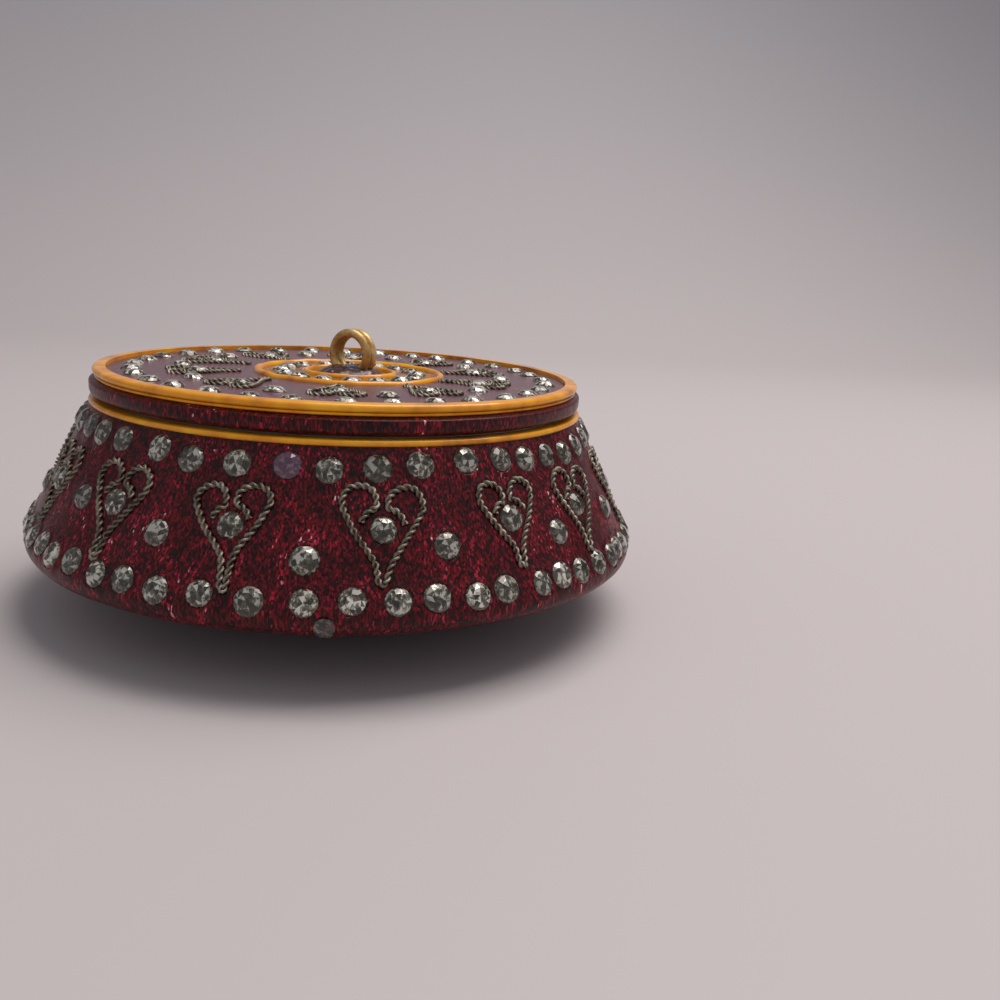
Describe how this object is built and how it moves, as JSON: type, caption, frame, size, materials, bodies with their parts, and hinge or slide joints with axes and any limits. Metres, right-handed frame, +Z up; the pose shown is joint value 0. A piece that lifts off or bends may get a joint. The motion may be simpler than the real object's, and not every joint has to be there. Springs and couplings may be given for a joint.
{
  "type": "round lidded trinket box",
  "caption": "Flared round trinket box in glittery burgundy lac over metal, with pressed stones, wire hearts, amber rims and a lift-off lid with a ring pull.",
  "frame": {"origin": "centre of the flat foot that the box rests on", "axes": "+Z up along the box's axis, -Y towards the side the picture shows"},
  "size_m": [0.0815, 0.0816, 0.0361],
  "materials": {
    "liner_metal": "spun, dull",
    "burgundy_lac": "burgundy shellac with glitter, hand rolled",
    "amber_lac": "amber shellac, glossy",
    "dark_lac": "dark shellac",
    "foiled_glass": "faceted, foil backed",
    "twisted_wire": "twisted wire, tarnished",
    "ring_brass": "worn brass"
  },
  "bodies": {
    "box": {"base_cup": "liner_metal", "base_lac": "burgundy_lac", "rim_ring": "amber_lac", "upper_row_stones": "foiled_glass", "lower_row_stones": "foiled_glass", "heart_stones": "foiled_glass", "middle_stones": "foiled_glass", "heart_wires": "twisted_wire"},
    "lid": {"lid_pan": "liner_metal", "lid_lac": "burgundy_lac", "lid_bead_lower": "amber_lac", "lid_bead_upper": "amber_lac", "medallion_outer_ring": "amber_lac", "medallion_inner_ring": "amber_lac", "pull_hub": "dark_lac", "pull_ring": "ring_brass", "lid_heart_wires": "twisted_wire", "lid_border_stones": "foiled_glass", "lid_heart_stones": "foiled_glass", "lid_loose_stones": "foiled_glass", "medallion_stones": "foiled_glass"}
  },
  "joints": [
    {"name": "lid_lift", "type": "slide", "parent": "box", "child": "lid", "axis": [0, 0, 1], "range_m": [0, 0.04]}
  ]
}
